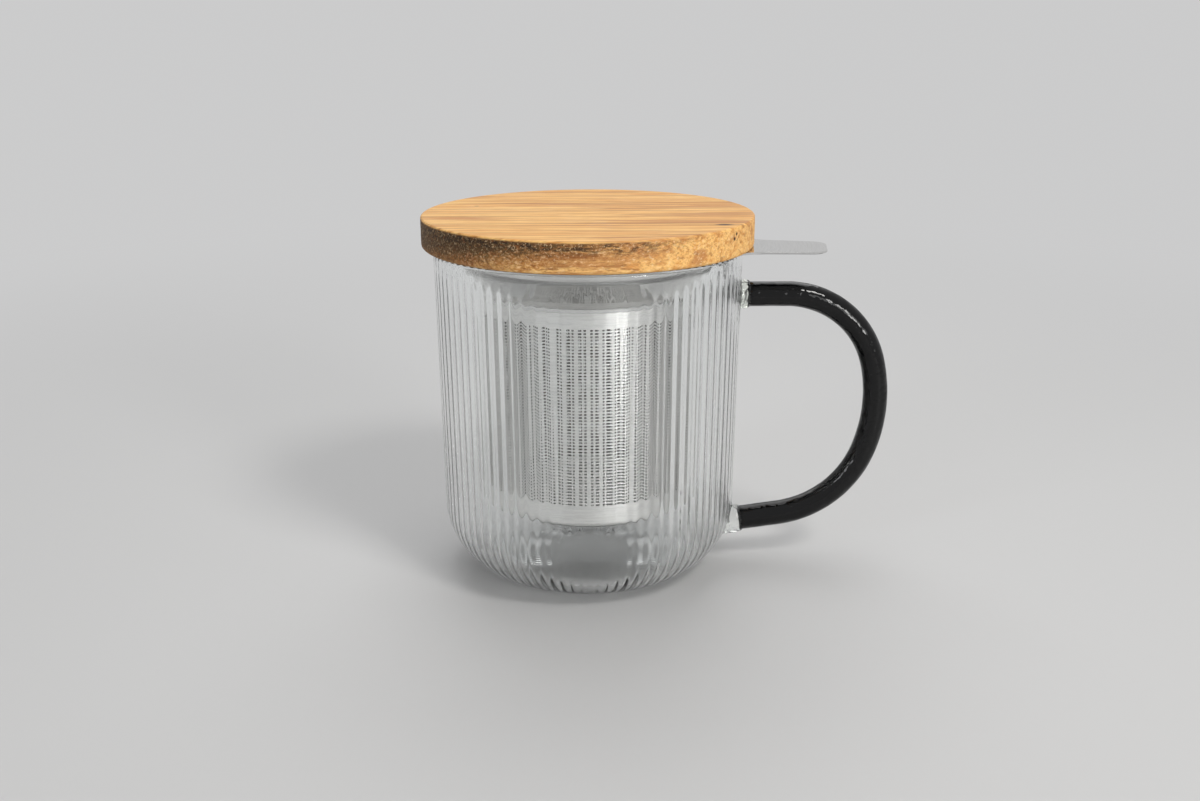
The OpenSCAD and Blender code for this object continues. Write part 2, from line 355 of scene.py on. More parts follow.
@dataclass
class SharedEffects:
    """Node groups that more than one finish places in its material."""

    handling: bpy.types.NodeTree = field(init=False)
    hairlines: bpy.types.NodeTree = field(init=False)
    ripple: bpy.types.NodeTree = field(init=False)

    def __post_init__(self) -> None:
        """Builds the three groups once."""
        self.handling = self.make_handling()
        self.hairlines = self.make_hairlines()
        self.ripple = self.make_ripple()

    def make_handling(self) -> bpy.types.NodeTree:
        """Group for smears and dust specks that handling leaves.

        Returns:
            A group with the masks Smear and Speck, both from 0 to 1.
        """
        wiring = new_group(
            "Handling marks",
            {"Place": (0, 0, 0), "Smear Size": 60.0, "Speck Size": 1400.0, "Speck Share": 0.2},
            {"Smear": "NodeSocketFloat", "Speck": "NodeSocketFloat"},
        )
        start, end = group_ends(wiring)
        smear = wiring.add("ShaderNodeTexNoise", Vector=start.outputs["Place"],
                           Scale=start.outputs["Smear Size"], Detail=5.0, Roughness=0.62,
                           Distortion=0.6)
        wiring.link(wiring.span(smear.outputs["Fac"], 0.48, 0.72), end.inputs["Smear"])
        speck = wiring.add("ShaderNodeTexVoronoi", Vector=start.outputs["Place"],
                           Scale=start.outputs["Speck Size"], Randomness=1.0)
        near = wiring.span(speck.outputs["Distance"], 0.0, 0.22, 1.0, 0.0)
        lone = wiring.add("ShaderNodeSeparateColor", Color=speck.outputs["Color"])
        chosen = wiring.maths("LESS_THAN", lone.outputs["Red"], start.outputs["Speck Share"])
        wiring.link(wiring.maths("MULTIPLY", near, chosen), end.inputs["Speck"])
        return wiring.tree

    def make_hairlines(self) -> bpy.types.NodeTree:
        """Group for the fine lines that rolling and polishing leave in steel.

        Returns:
            A group with the mask Lines and the value Height.
        """
        wiring = new_group(
            "Rolled hairlines",
            {"Place": (0, 0, 0), "Density": 900.0, "Length": 0.002},
            {"Lines": "NodeSocketFloat", "Height": "NodeSocketFloat"},
        )
        start, end = group_ends(wiring)
        split = wiring.add("ShaderNodeSeparateXYZ", Vector=start.outputs["Place"])
        flat = wiring.add("ShaderNodeCombineXYZ", X=split.outputs["X"], Y=split.outputs["Y"])
        reach = wiring.add("ShaderNodeVectorMath", operation="LENGTH")
        wiring.link(flat.outputs["Vector"], reach.inputs[0])
        turn = wiring.maths("ARCTAN2", split.outputs["Y"], split.outputs["X"])
        along = wiring.maths("MULTIPLY", turn, start.outputs["Length"])
        across = wiring.add("ShaderNodeCombineXYZ", X=reach.outputs["Value"], Y=along,
                            Z=split.outputs["Z"])
        fine = wiring.add("ShaderNodeTexNoise", Vector=across.outputs["Vector"],
                          Scale=start.outputs["Density"], Detail=3.0, Roughness=0.7)
        wiring.link(wiring.span(fine.outputs["Fac"], 0.35, 0.7), end.inputs["Lines"])
        wiring.link(fine.outputs["Fac"], end.inputs["Height"])
        return wiring.tree

    def make_ripple(self) -> bpy.types.NodeTree:
        """Group for the slow waves in glass worked by hand.

        Returns:
            A group with the value Height.
        """
        wiring = new_group(
            "Worked glass ripple",
            {"Place": (0, 0, 0), "Wave Size": 45.0, "Seed Size": 500.0, "Seed Share": 0.05},
            {"Height": "NodeSocketFloat"},
        )
        start, end = group_ends(wiring)
        slow = wiring.add("ShaderNodeTexNoise", Vector=start.outputs["Place"],
                          Scale=start.outputs["Wave Size"], Detail=2.0, Roughness=0.45)
        seed = wiring.add("ShaderNodeTexVoronoi", Vector=start.outputs["Place"],
                          Scale=start.outputs["Seed Size"], Randomness=1.0)
        lone = wiring.add("ShaderNodeSeparateColor", Color=seed.outputs["Color"])
        chosen = wiring.maths("LESS_THAN", lone.outputs["Green"], start.outputs["Seed Share"])
        dot = wiring.maths("MULTIPLY", wiring.span(seed.outputs["Distance"], 0.0, 0.2, 0.12, 0.0),
                           chosen)
        wiring.link(wiring.maths("ADD", slow.outputs["Fac"], dot), end.inputs["Height"])
        return wiring.tree


def start_material(name: str) -> tuple[bpy.types.Material, Wiring, bpy.types.Node,
                                       bpy.types.NodeSocket]:
    """Starts a material on an empty tree.

    Args:
        name: Name of the material.

    Returns:
        The material, its wiring, its Principled shader and the output of its
        object coordinates.
    """
    material = bpy.data.materials.new(name)
    material.use_nodes = True
    material.node_tree.nodes.clear()
    wiring = Wiring(material.node_tree)
    shader = wiring.add("ShaderNodeBsdfPrincipled")
    output = wiring.add("ShaderNodeOutputMaterial")
    wiring.link(shader.outputs["BSDF"], output.inputs["Surface"])
    place = wiring.add("ShaderNodeTexCoord").outputs["Object"]
    return material, wiring, shader, place


def use_group(wiring: Wiring, group: bpy.types.NodeTree, **inputs: object) -> bpy.types.Node:
    """Places a node group in a material and sets its inputs."""
    node = wiring.tree.nodes.new("ShaderNodeGroup")
    node.node_tree = group
    for key, value in inputs.items():
        socket = node.inputs[key.replace("_", " ")]
        if isinstance(value, bpy.types.NodeSocket):
            wiring.link(value, socket)
        else:
            socket.default_value = value
    return node


def add_bump(wiring: Wiring, shader: bpy.types.Node, height: bpy.types.NodeSocket,
             depth: float, strength: float) -> None:
    """Feeds a height to the shader's normal.

    Args:
        wiring: Wiring of the material.
        shader: Its Principled shader.
        height: Output that holds the height, from 0 to 1.
        depth: Height of 1, in metres.
        strength: Strength of the Bump node.
    """
    bump = wiring.add("ShaderNodeBump", Height=height, Distance=depth, Strength=strength)
    wiring.link(bump.outputs["Normal"], shader.inputs["Normal"])


# ---- finishes -------------------------------------------------------------------


@dataclass(frozen=True)
class ClearGlass:
    """Clear borosilicate glass with faint waves and handling marks."""

    tint: Colour = (0.985, 0.995, 0.992)
    smear_tint: Colour = (0.955, 0.965, 0.962)
    index: float = 1.47
    roughness: float = 0.0
    smear_roughness: float = 0.035
    speck_roughness: float = 0.3
    wave_depth: float = 0.00006
    crinkle_size: float = 330.0
    fused_reach: tuple[float, float] = (0.004, 0.0135)
    fused_depth: float = 45.0

    def make(self, name: str, effects: SharedEffects,
             fused: tuple[tuple[float, float, float], ...] = ()) -> bpy.types.Material:
        """Builds the material.

        Args:
            name: Name of the material.
            effects: The shared node groups.
            fused: Places where a bead was fused on and the glass is crinkled.

        Returns:
            The material.
        """
        material, wiring, shader, place = start_material(name)
        shader.inputs["IOR"].default_value = self.index
        shader.inputs["Transmission Weight"].default_value = 1.0
        marks = use_group(wiring, effects.handling, Place=place, Smear_Size=38.0,
                          Speck_Size=900.0, Speck_Share=0.03)
        wiring.link(wiring.mix(marks.outputs["Smear"], self.tint, self.smear_tint),
                    shader.inputs["Base Color"])
        dulled = wiring.maths("MULTIPLY", marks.outputs["Smear"], self.smear_roughness)
        speck = wiring.maths("MULTIPLY", marks.outputs["Speck"], self.speck_roughness)
        base = wiring.maths("ADD", dulled, self.roughness)
        wiring.link(wiring.maths("ADD", base, speck), shader.inputs["Roughness"])
        wave = use_group(wiring, effects.ripple, Place=place, Wave_Size=70.0,
                         Seed_Size=420.0, Seed_Share=0.03)
        height = wave.outputs["Height"]
        for spot in fused:
            away = wiring.add("ShaderNodeVectorMath", operation="DISTANCE")
            wiring.link(place, away.inputs[0])
            away.inputs[1].default_value = spot
            near = wiring.span(away.outputs["Value"], *self.fused_reach, self.fused_depth, 0.0)
            crinkle = wiring.add("ShaderNodeTexNoise", Vector=place, Scale=self.crinkle_size,
                                 Detail=2.0, Roughness=0.5, Distortion=0.8)
            height = wiring.maths("ADD", height,
                                  wiring.maths("MULTIPLY", near, crinkle.outputs["Fac"]))
        add_bump(wiring, shader, height, self.wave_depth, 0.6)
        return material


@dataclass(frozen=True)
class BlackGlass:
    """Opaque black glass rod with a wet gloss, faint waves and dust."""

    body: Colour = (0.0015, 0.0015, 0.0018)
    dust: Colour = (0.06, 0.06, 0.063)
    roughness: float = 0.02
    smear_roughness: float = 0.05
    index: float = 1.46
    specular: float = 0.38
    wave_depth: float = 0.0007

    def make(self, name: str, effects: SharedEffects) -> bpy.types.Material:
        """Builds the material."""
        material, wiring, shader, place = start_material(name)
        shader.inputs["IOR"].default_value = self.index
        shader.inputs["Specular IOR Level"].default_value = self.specular
        marks = use_group(wiring, effects.handling, Place=place, Smear_Size=70.0,
                          Speck_Size=1500.0, Speck_Share=0.06)
        wiring.link(wiring.mix(marks.outputs["Speck"], self.body, self.dust),
                    shader.inputs["Base Color"])
        dulled = wiring.maths("MULTIPLY", marks.outputs["Smear"], self.smear_roughness)
        wiring.link(wiring.maths("ADD", dulled, self.roughness), shader.inputs["Roughness"])
        wave = use_group(wiring, effects.ripple, Place=place, Wave_Size=260.0,
                         Seed_Size=700.0, Seed_Share=0.12)
        add_bump(wiring, shader, wave.outputs["Height"], self.wave_depth, 0.6)
        return material


@dataclass(frozen=True)
class Steel:
    """Stainless steel sheet, from a mirror polish to a satin finish."""

    light: Colour = (0.86, 0.855, 0.845)
    dark: Colour = (0.76, 0.755, 0.745)
    roughness: float = 0.1
    line_roughness: float = 0.08
    line_density: float = 2600.0
    line_depth: float = 0.000006
    line_share: float = 0.8
    anisotropy: float = 0.0
    anisotropic_turn: float = 0.25
    # painted shade: a near-black colour laid on the tube's inner face, standing in for the shade inside
    # the basket
    painted_shade: Colour = (0.09, 0.083, 0.07)
    painted_shade_radius: float = 0.0
    painted_shade_edge: float = 0.15 * MM

    def make(self, name: str, effects: SharedEffects) -> bpy.types.Material:
        """Builds the material; inside the given radius, the tube's inner face is painted dark as shade.
        """
        material, wiring, shader, place = start_material(name)
        shader.inputs["Metallic"].default_value = 1.0
        if self.anisotropy > 0:
            shader.inputs["Anisotropic"].default_value = self.anisotropy
            shader.inputs["Anisotropic Rotation"].default_value = self.anisotropic_turn
            around = wiring.add("ShaderNodeTangent", direction_type="RADIAL", axis="Z")
            wiring.link(around.outputs["Tangent"], shader.inputs["Tangent"])
        lines = use_group(wiring, effects.hairlines, Place=place, Density=self.line_density,
                          Length=0.002)
        marks = use_group(wiring, effects.handling, Place=place, Smear_Size=60.0,
                          Speck_Size=1800.0, Speck_Share=0.03)
        worn = wiring.maths("MULTIPLY", lines.outputs["Lines"], self.line_share)
        colour = wiring.mix(worn, self.light, self.dark)
        # paints shade: inside the radius, the inner face is darkened towards the painted shade colour
        if self.painted_shade_radius > 0:
            flat = wiring.add("ShaderNodeVectorMath", operation="MULTIPLY")
            wiring.link(place, flat.inputs[0])
            flat.inputs[1].default_value = (1, 1, 0)
            reach = wiring.add("ShaderNodeVectorMath", operation="LENGTH")
            wiring.link(flat.outputs[0], reach.inputs[0])
            inside = wiring.span(reach.outputs["Value"], self.painted_shade_radius,
                                 self.painted_shade_radius + self.painted_shade_edge, 1.0, 0.0)
            colour = wiring.mix(inside, colour, self.painted_shade)
        wiring.link(colour, shader.inputs["Base Color"])
        scored = wiring.maths("MULTIPLY", lines.outputs["Lines"], self.line_roughness)
        smeared = wiring.maths("MULTIPLY", marks.outputs["Smear"], 0.5 * self.line_roughness)
        rough = wiring.maths("ADD", wiring.maths("ADD", scored, smeared), self.roughness)
        wiring.link(rough, shader.inputs["Roughness"])
        add_bump(wiring, shader, lines.outputs["Height"], self.line_depth, 0.4)
        return material


@dataclass(frozen=True)
class Knot:
    """A small dark mark in the wood: its place, its size and its stretch."""

    place: tuple[float, float, float]
    size: float
    stretch: tuple[float, float, float] = (0.5, 1.0, 1.0)


@dataclass(frozen=True)
class Acacia:
    """Oiled acacia cut with its grain along X, dark where heartwood meets the rim."""

    honey: Colour = (0.97, 0.6, 0.21)
    amber: Colour = (0.73, 0.33, 0.08)
    rose: Colour = (0.5, 0.215, 0.07)
    brown: Colour = (0.25, 0.085, 0.019)
    umber: Colour = (0.027, 0.014, 0.006)
    olive: Colour = (0.095, 0.054, 0.017)
    pale: Colour = (0.86, 0.62, 0.36)
    mark: Colour = (0.045, 0.018, 0.01)
    knots: tuple[Knot, ...] = (
        Knot((0.035, -0.021, 0.101), 0.0016),
        Knot((0.0378, -0.0244, 0.0992), 0.0006, (1.0, 1.0, 1.0)),
        Knot((0.0372, -0.0253, 0.0981), 0.0007, (1.0, 1.0, 1.0)),
        Knot((-0.031, 0.012, 0.101), 0.0005),
    )
    stain_front: tuple[float, float] = (0.02, 0.002)
    stain_lean: tuple[float, float] = (0.0965, -5.5)
    stain_reach: tuple[float, float] = (-0.024, 0.016)
    heart_reach: tuple[float, float] = (-0.034, -0.012)
    torn_height: tuple[float, float] = (0.0965, 0.0995)
    torn_reach: tuple[float, float] = (0.03, 0.004)
    low_reach: tuple[float, float] = (0.024, 0.002)
    roughness: float = 0.5
    side_roughness: float = 0.12
    specular: float = 0.3
    fibre_depth: float = 0.00014

    def make(self, name: str, lid_top: float, lid_radius: float,
             effects: SharedEffects) -> bpy.types.Material:
        """Builds the material.

        Args:
            name: Name of the material.
            lid_top: Height of the lid's top face.
            lid_radius: Radius of the lid.
            effects: The shared node groups.

        Returns:
            The material.
        """
        material, wiring, shader, place = start_material(name)
        shader.inputs["Specular IOR Level"].default_value = self.specular
        bands, rings, fibre = self.add_grain(wiring, place)
        side = self.add_side_mask(wiring, place, lid_top, lid_radius)
        mottle = self.add_mottle(wiring, place)
        colour = wiring.mix(rings, self.honey, self.amber)
        colour = wiring.mix(wiring.span(bands, 0.48, 0.63, 0.0, 0.75), colour, self.rose)
        streak = self.add_noise(wiring, place, along=6, across=620, detail=4.0, roughness=0.55)
        colour = wiring.mix(wiring.span(streak, 0.57, 0.66, 0.0, 0.6), colour, self.brown)
        fine = wiring.span(fibre, 0.44, 0.62, 0.0, 0.36)
        colour = wiring.mix(fine, colour, self.rose)
        blotch = wiring.maths("MULTIPLY", wiring.span(mottle, 0.5, 0.62, 0.0, 0.6), side)
        colour = wiring.mix(blotch, colour, self.rose)
        bare = wiring.maths("MULTIPLY", wiring.span(mottle, 0.46, 0.36, 0.0, 0.7), side)
        colour = wiring.mix(bare, colour, self.pale)
        colour = self.add_heartwood(wiring, place, side, mottle, colour)
        pores = self.add_pores(wiring, place)
        colour = wiring.mix(wiring.maths("MULTIPLY", pores, 0.6), colour, self.brown)
        marks = self.add_knots(wiring, place)
        colour = wiring.mix(marks, colour, self.mark)
        wiring.link(colour, shader.inputs["Base Color"])
        wear = use_group(wiring, effects.handling, Place=place, Smear_Size=45.0,
                         Speck_Size=900.0, Speck_Share=0.04)
        dulled = wiring.maths("MULTIPLY", wear.outputs["Smear"], -0.08)
        rough = wiring.maths("ADD", dulled, wiring.maths("MULTIPLY", fibre, 0.15))
        rough = wiring.maths("ADD", rough, wiring.maths("MULTIPLY", side, self.side_roughness))
        wiring.link(wiring.maths("ADD", rough, self.roughness), shader.inputs["Roughness"])
        height = wiring.maths("SUBTRACT", fibre, wiring.maths("MULTIPLY", pores, 0.8))
        height = wiring.maths("SUBTRACT", height, marks)
        torn = wiring.maths("MULTIPLY", wiring.maths("MULTIPLY", mottle, side), 1.6)
        add_bump(wiring, shader, wiring.maths("ADD", height, torn), self.fibre_depth, 0.6)
        return material

    def stretched(self, wiring: Wiring, place: bpy.types.NodeSocket,
                  along: float, across: float) -> bpy.types.NodeSocket:
        """Coordinates drawn out along the grain, as a socket."""
        node = wiring.add("ShaderNodeMapping", Vector=place, Scale=(along, across, across))
        return node.outputs["Vector"]

    def add_noise(self, wiring: Wiring, place: bpy.types.NodeSocket, along: float,
                  across: float, detail: float, roughness: float) -> bpy.types.NodeSocket:
        """Adds a noise drawn out along the grain and returns its value."""
        noise = wiring.add("ShaderNodeTexNoise", Scale=1.0, Detail=detail, Roughness=roughness,
                           Vector=self.stretched(wiring, place, along, across))
        return noise.outputs["Fac"]

    def add_grain(self, wiring: Wiring, place: bpy.types.NodeSocket) -> tuple[
            bpy.types.NodeSocket, bpy.types.NodeSocket, bpy.types.NodeSocket]:
        """Adds growth bands and fibres.

        Args:
            wiring: Wiring of the material.
            place: Object coordinates.

        Returns:
            The dark bands, the mask of the growth rings and the fibres.
        """
        slow = wiring.add("ShaderNodeTexNoise", Vector=self.stretched(wiring, place, 12, 60),
                          Scale=1.0, Detail=3.0, Roughness=0.5)
        bent = wiring.add("ShaderNodeMix")
        bent.data_type = "VECTOR"
        bent.inputs[0].default_value = 0.01
        wiring.link(place, bent.inputs[4])
        wiring.link(slow.outputs["Color"], bent.inputs[5])
        warped = bent.outputs[1]
        bands = self.add_noise(wiring, warped, along=11, across=190, detail=6.0, roughness=0.6)
        rings = self.add_noise(wiring, warped, along=9, across=760, detail=5.0, roughness=0.65)
        fibre = self.add_noise(wiring, place, along=100, across=3200, detail=4.0, roughness=0.65)
        return bands, wiring.span(rings, 0.4, 0.66), fibre

    def add_mottle(self, wiring: Wiring, place: bpy.types.NodeSocket) -> bpy.types.NodeSocket:
        """Adds the coarse mottling of the sawn rim."""
        return self.add_noise(wiring, place, along=620, across=1500, detail=6.0, roughness=0.72)

    def add_pores(self, wiring: Wiring, place: bpy.types.NodeSocket) -> bpy.types.NodeSocket:
        """Adds the short dark pores and returns their mask."""
        pores = wiring.add("ShaderNodeTexVoronoi",
                           Vector=self.stretched(wiring, place, 120, 2400),
                           Scale=1.0, Randomness=1.0)
        lone = wiring.add("ShaderNodeSeparateColor", Color=pores.outputs["Color"])
        few = wiring.maths("LESS_THAN", lone.outputs["Blue"], 0.34)
        return wiring.maths("MULTIPLY", wiring.span(pores.outputs["Distance"], 0.08, 0.3, 1, 0), few)

    def add_side_mask(self, wiring: Wiring, place: bpy.types.NodeSocket, lid_top: float,
                      lid_radius: float) -> bpy.types.NodeSocket:
        """Adds the mask of the lid's rim, its rounded edges left out."""
        split = wiring.add("ShaderNodeSeparateXYZ", Vector=place)
        flat = wiring.add("ShaderNodeCombineXYZ", X=split.outputs["X"], Y=split.outputs["Y"])
        reach = wiring.add("ShaderNodeVectorMath", operation="LENGTH")
        wiring.link(flat.outputs["Vector"], reach.inputs[0])
        outer = wiring.span(reach.outputs["Value"], lid_radius - 1.0 * MM, lid_radius - 0.3 * MM)
        under = wiring.span(split.outputs["Z"], lid_top - 0.2 * MM, lid_top - 0.8 * MM)
        return wiring.maths("MULTIPLY", outer, under)

    def add_heartwood(self, wiring: Wiring, place: bpy.types.NodeSocket,
                      side: bpy.types.NodeSocket, mottle: bpy.types.NodeSocket,
                      colour: bpy.types.NodeSocket) -> bpy.types.NodeSocket:
        """Adds the dark heartwood and the torn streaks on one stretch of the rim.

        Args:
            wiring: Wiring of the material.
            place: Object coordinates.
            side: Mask of the rim.
            mottle: Coarse mottling.
            colour: Colour so far.

        Returns:
            The colour with the heartwood laid over it.
        """
        split = wiring.add("ShaderNodeSeparateXYZ", Vector=place)
        front = wiring.maths("MULTIPLY", wiring.span(split.outputs["Y"], *self.stain_front), side)
        level, lean = self.stain_lean
        rising = wiring.maths("MULTIPLY", wiring.maths("SUBTRACT", split.outputs["Z"], level), lean)
        ragged = wiring.maths("MULTIPLY", wiring.maths("SUBTRACT", mottle, 0.5), -0.09)
        reach = wiring.maths("ADD", wiring.maths("ADD", split.outputs["X"], rising), ragged)
        stained = wiring.maths("MULTIPLY", wiring.span(reach, *self.stain_reach, 0.8, 0.0), front)
        colour = wiring.mix(stained, colour, self.brown)
        dark = wiring.maths("MULTIPLY", wiring.span(reach, *self.heart_reach, 0.9, 0.0), front)
        tone = wiring.mix(wiring.span(mottle, 0.44, 0.58), self.umber, self.olive)
        colour = wiring.mix(dark, colour, tone)
        torn = self.add_noise(wiring, place, along=150, across=1300, detail=4.0, roughness=0.7)
        edge = wiring.span(split.outputs["Z"], *self.torn_height)
        near = wiring.maths("MULTIPLY", wiring.span(split.outputs["X"], *self.torn_reach), edge)
        near = wiring.maths("MULTIPLY", near, front)
        line = wiring.maths("MULTIPLY", wiring.span(torn, 0.47, 0.56, 0.0, 0.92), near)
        colour = wiring.mix(line, colour, self.umber)
        low = self.add_noise(wiring, place, along=60, across=1500, detail=4.0, roughness=0.6)
        middle = wiring.maths("MULTIPLY", wiring.span(split.outputs["X"], *self.low_reach), front)
        line = wiring.maths("MULTIPLY", wiring.span(low, 0.56, 0.66, 0.0, 0.8), middle)
        colour = wiring.mix(line, colour, self.brown)
        speck = wiring.add("ShaderNodeTexNoise", Vector=place, Scale=1900.0, Detail=3.0,
                           Roughness=0.8)
        fleck = wiring.maths("MULTIPLY", wiring.span(speck.outputs["Fac"], 0.54, 0.66, 0.0, 0.75),
                             stained)
        return wiring.mix(fleck, colour, self.pale)

    def add_knots(self, wiring: Wiring, place: bpy.types.NodeSocket) -> bpy.types.NodeSocket:
        """Adds the small dark marks and returns their mask."""
        total: object = 0.0
        for knot in self.knots:
            shift = wiring.add("ShaderNodeVectorMath", operation="SUBTRACT")
            wiring.link(place, shift.inputs[0])
            shift.inputs[1].default_value = knot.place
            drawn = wiring.add("ShaderNodeVectorMath", operation="MULTIPLY")
            wiring.link(shift.outputs[0], drawn.inputs[0])
            drawn.inputs[1].default_value = knot.stretch
            away = wiring.add("ShaderNodeVectorMath", operation="LENGTH")
            wiring.link(drawn.outputs[0], away.inputs[0])
            spot = wiring.span(away.outputs["Value"], 0.3 * knot.size, knot.size, 1.0, 0.0)
            total = wiring.maths("MAXIMUM", spot, total)
        return total


@dataclass(frozen=True)
class Silicone:
    """Milky silicone with a faint moulding texture."""

    body: Colour = (0.78, 0.77, 0.73)
    dusty: Colour = (0.68, 0.67, 0.64)
    roughness: float = 0.42

    def make(self, name: str, effects: SharedEffects) -> bpy.types.Material:
        """Builds the material."""
        material, wiring, shader, place = start_material(name)
        shader.inputs["Subsurface Weight"].default_value = 0.25
        shader.inputs["Subsurface Scale"].default_value = 0.002
        marks = use_group(wiring, effects.handling, Place=place, Smear_Size=120.0,
                          Speck_Size=2200.0, Speck_Share=0.15)
        wiring.link(wiring.mix(marks.outputs["Smear"], self.body, self.dusty),
                    shader.inputs["Base Color"])
        dulled = wiring.maths("MULTIPLY", marks.outputs["Smear"], 0.15)
        wiring.link(wiring.maths("ADD", dulled, self.roughness), shader.inputs["Roughness"])
        add_bump(wiring, shader, marks.outputs["Speck"], 0.00002, 0.5)
        return material


# ---- the mug --------------------------------------------------------------------


@dataclass
class GlassCup:
    """Blown cup with shallow flutes on both faces, round at the bottom corner."""

    flutes: int = 84
    flute_depth: float = 0.14 * MM
    outer_depth: float = 0.11 * MM
    outer_fade: tuple[float, float] = (2.4 * MM, 10 * MM)
    steps_per_flute: int = 12
    wall: float = 2.2 * MM
    taper: float = 1.0 * MM
    corner: float = 20 * MM
    rim_round: float = 0.7 * MM
    plain_band: float = 3.4 * MM
    flute_end: float = 11 * MM
    flute_fade: float = 2.4 * MM
    upright_band: float = 2.2 * MM
    kick: float = 0.5 * MM
    radius: float = field(init=False)
    height: float = field(init=False)

    def __post_init__(self) -> None:
        """Reads the cup's size from the frame."""
        self.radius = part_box("glass_cup")[1].y
        self.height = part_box("glass_cup")[1].z

    def outer_section(self) -> list[Point2]:
        """Half section from the middle of the base up to the rim."""
        waist = self.radius - self.taper
        foot = waist - self.corner
        taper_end = (self.radius, self.height - self.upright_band)
        hollow = [(r * foot, self.kick * (1 - r ** 3)) for r in (0.05, 0.3, 0.55, 0.75, 0.88)]
        return [
            *hollow,
            *arc((foot, self.corner), self.corner, -90, 0, 22),
            *straight((waist, self.corner), taper_end, 12),
            taper_end,
            *arc((self.radius - self.rim_round, self.height - self.rim_round),
                 self.rim_round, 0, 90, 6),
        ]

    def inner_section(self) -> list[tuple[Point2, float]]:
        """Half section from the rim down to the middle of the floor.

        Returns:
            Points on the crests between the flutes, each with the height by
            which a flute has run out there, in metres.
        """
        waist = self.radius - self.taper
        foot = waist - self.corner
        top = self.radius - self.wall
        band_end = self.height - self.plain_band
        fade = self.flute_fade
        rise = 1.25 * self.flute_depth / fade
        rim = arc((top + self.rim_round, self.height - self.rim_round), self.rim_round, 90, 180, 6)
        section = [(p, 1.0) for p in rim]
        section += [((top, self.height - self.upright_band), 1.0),
                    ((top, band_end + 0.3 * MM), 1.0)]
        waist_point = (waist - self.wall, self.corner)
        for k in range(17):
            z = band_end - fade * k / 16
            section.append(((self.wall_inside(z, waist_point, top), z), rise * (fade - fade * k / 16)))
        section += [
            ((self.wall_inside(z, waist_point, top), z), 0.0)
            for z in np.linspace(band_end - fade - 4 * MM, self.corner + 3 * MM, 14)
        ]
        section += [(p, 0.0) for p in arc((foot, self.corner), self.corner - self.wall, 0, -90, 22)]
        for k in range(1, 8):
            share = k / 7
            section.append(((foot + (self.flute_end - foot) * share, self.wall),
                            self.flute_depth * share))
        section += [((r * self.flute_end, self.wall), 1.0) for r in (0.7, 0.35, 0.05)]
        return section

    def outer_radius(self, z: np.ndarray) -> np.ndarray:
        """Radius of the cup's outside at heights z."""
        waist = self.radius - self.taper
        low = np.clip((self.corner - z) / self.corner, 0.0, 1.0)
        corner = waist - self.corner * (1 - np.sqrt(1 - low ** 2))
        share = np.clip((z - self.corner) / (self.height - self.corner), 0.0, 1.0)
        return corner + self.taper * share

    def wall_inside(self, z: float, waist: Point2, top: float) -> float:
        """Radius of the inner wall at height z above the corner."""
        share = (z - waist[1]) / (self.height - self.upright_band - waist[1])
        return waist[0] + (top - waist[0]) * min(share, 1.0)

    def fluted(self, section: list[tuple[Point2, float]], around: int) -> np.ndarray:
        """Rings of the inner surface, with the flutes pressed into them.

        Args:
            section: Points and run-outs from inner_section.
            around: Points in each ring.

        Returns:
            An array of shape (points of the section, around, 3).
        """
        crest = np.array([p for p, _ in section])
        run_out = np.array([gone for _, gone in section])[:, None]
        along = np.gradient(crest, axis=0)
        along /= np.linalg.norm(along, axis=1, keepdims=True)
        outward = np.stack([-along[:, 1], along[:, 0]], axis=1)
        angle = np.arange(around) * TURN / around
        pushed = np.maximum(0.0, self.flute_depth * self.wave(angle)[None, :] - run_out)
        radius = crest[:, :1] + outward[:, :1] * pushed
        height = crest[:, 1:] + outward[:, 1:] * pushed
        return np.stack([radius * np.cos(angle), radius * np.sin(angle), height], axis=-1)

    def wave(self, angle: np.ndarray) -> np.ndarray:
        """Share of a flute's depth at each angle, from 0 on its crests to 1."""
        return np.sin(angle * self.flutes / 2) ** 2

    def rippled(self, rings: np.ndarray) -> np.ndarray:
        """Rings of the outer surface, drawn in over the crests of the inner one.

        Args:
            rings: Array of shape (rings, points in a ring, 3).

        Returns:
            An array of the same shape; the wall is nearly as thick all round.
        """
        around = rings.shape[1]
        reach = np.linalg.norm(rings[:, :, :2], axis=-1)
        band_fade, foot_fade = self.outer_fade
        top = np.clip((self.height - self.plain_band - rings[:, :, 2]) / band_fade, 0, 1)
        foot = np.clip((reach - self.flute_end) / foot_fade, 0, 1)
        crest = 1 - self.wave(np.arange(around) * TURN / around)
        cut = self.outer_depth * top * foot * crest[None, :]
        drawn = rings.copy()
        drawn[:, :, :2] *= (1 - cut / np.maximum(reach, MM))[:, :, None]
        return drawn

    def build(self, material: bpy.types.Material) -> bpy.types.Object:
        """Builds the cup and dresses it."""
        around = self.flutes * self.steps_per_flute
        skin = Skin()
        rings = np.concatenate([
            self.rippled(revolved(self.outer_section(), around)),
            self.fluted(self.inner_section(), around),
        ])
        skin.add_rings(rings, closed=False)
        piece = skin.to_object("fluted_cup", 60)
        return dress(piece, material, Body.MUG, Slot.CLEAR_GLASS, "glass_cup")


